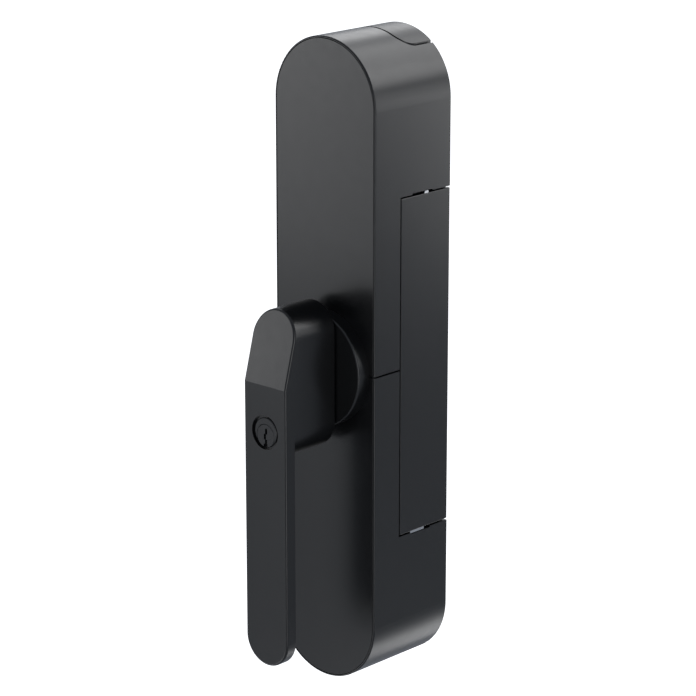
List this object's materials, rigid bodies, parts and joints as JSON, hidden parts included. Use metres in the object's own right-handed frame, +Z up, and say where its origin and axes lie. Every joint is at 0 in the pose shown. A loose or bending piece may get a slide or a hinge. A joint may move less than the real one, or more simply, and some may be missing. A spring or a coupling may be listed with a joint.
{
  "type": "motorised window handle",
  "caption": "Slim battery-driven window handle: rounded upright housing, key-lockable lever on a collar, slide-out battery pack at the side.",
  "frame": {"origin": "spindle axis where it meets the sash, midway between the two sash screws", "axes": "+Z up along the housing, -Y towards the room, +X towards the battery pack"},
  "size_m": [0.0606, 0.114, 0.3],
  "materials": {
    "housing_black": "fine matt, moulded",
    "cover_black": "fine matt, moulded",
    "cap_black": "fine matt, moulded",
    "pack_black": "fine matt, moulded",
    "lever_black": "satin powder coat",
    "collar_black": "satin powder coat",
    "lock_black": "black plated, satin",
    "nylon_grey": "glass-filled nylon",
    "steel": "zinc plated",
    "gear_steel": "hobbed, oiled",
    "brass": "machined",
    "frame_metal": "pressed sheet",
    "motor_steel": "drawn can",
    "board_green": "solder mask",
    "component_black": "moulded",
    "cell_wrap": "shrink film"
  },
  "bodies": {
    "housing": {"upper_shell": "housing_black", "lower_shell": "housing_black", "upper_front_cover": "cover_black", "lower_front_cover": "cover_black", "upper_end_cap": "cap_black", "lower_end_cap": "cap_black", "base_plate": "nylon_grey", "fixing_screws": "steel", "collar": "collar_black", "gear_frame": "frame_metal", "gear_bridge": "frame_metal", "frame_screws": "steel", "motor_screws": "steel", "idler_axle": "steel", "motor_can": "motor_steel", "motor_gearhead": "motor_steel", "circuit_board": "board_green", "board_spacers": "brass", "board_components": "component_black", "board_screws": "steel", "battery_bay": "nylon_grey", "bay_contacts": "brass"},
    "lever": {"lever": "lever_black", "hub": "steel", "spindle": "steel", "spindle_pin": "steel", "spindle_sleeve": "nylon_grey", "retaining_ring": "steel", "output_gear": "gear_steel", "lock_housing": "lock_black", "driver_pins": "brass", "pin_springs": "steel"},
    "lock_plug": {"lock_plug": "lock_black", "key_pins": "brass", "lock_cam": "brass"},
    "locking_bolt": {"locking_bolt": "steel", "bolt_spring": "steel"},
    "idler": {"idler_gear": "gear_steel"},
    "motor_rotor": {"motor_pinion": "brass"},
    "battery_pack": {"battery_cover": "pack_black", "battery_tray": "nylon_grey", "battery_cells": "cell_wrap", "cell_contacts": "steel", "pack_board": "board_green", "pack_catches": "steel"}
  },
  "joints": [
    {"name": "lever_turn", "type": "hinge", "parent": "housing", "child": "lever", "pos_m": [0, -0.05, 0], "axis": [0, 1, 0], "range_deg": [0, 180]},
    {"name": "plug_turn", "type": "hinge", "parent": "lever", "child": "lock_plug", "pos_m": [0, -0.08, -0.0244], "axis": [0, 1, 0], "range_deg": [0, 90]},
    {"name": "bolt_slide", "type": "slide", "parent": "lever", "child": "locking_bolt", "axis": [0, 1, 0], "range_m": [-0.0001, 0.0037], "deforming": ["bolt_spring"]},
    {"name": "idler_turn", "type": "hinge", "parent": "housing", "child": "idler", "pos_m": [0, -0.04, 0.0315], "axis": [0, 1, 0], "range_deg": [-580, 2]},
    {"name": "motor_turn", "type": "hinge", "parent": "housing", "child": "motor_rotor", "pos_m": [-0.0135, -0.04, 0.05372], "axis": [0, 1, 0], "range_deg": [-5, 1570]},
    {"name": "pack_slide", "type": "slide", "parent": "housing", "child": "battery_pack", "axis": [1, 0, 0], "range_m": [0, 0.04]}
  ],
  "couplings": [
    {"joint": "bolt_slide", "follows": "plug_turn", "m_per_rad": 0.0022918},
    {"joint": "idler_turn", "follows": "lever_turn", "ratio": -3.2},
    {"joint": "motor_turn", "follows": "lever_turn", "ratio": 8.6857}
  ]
}
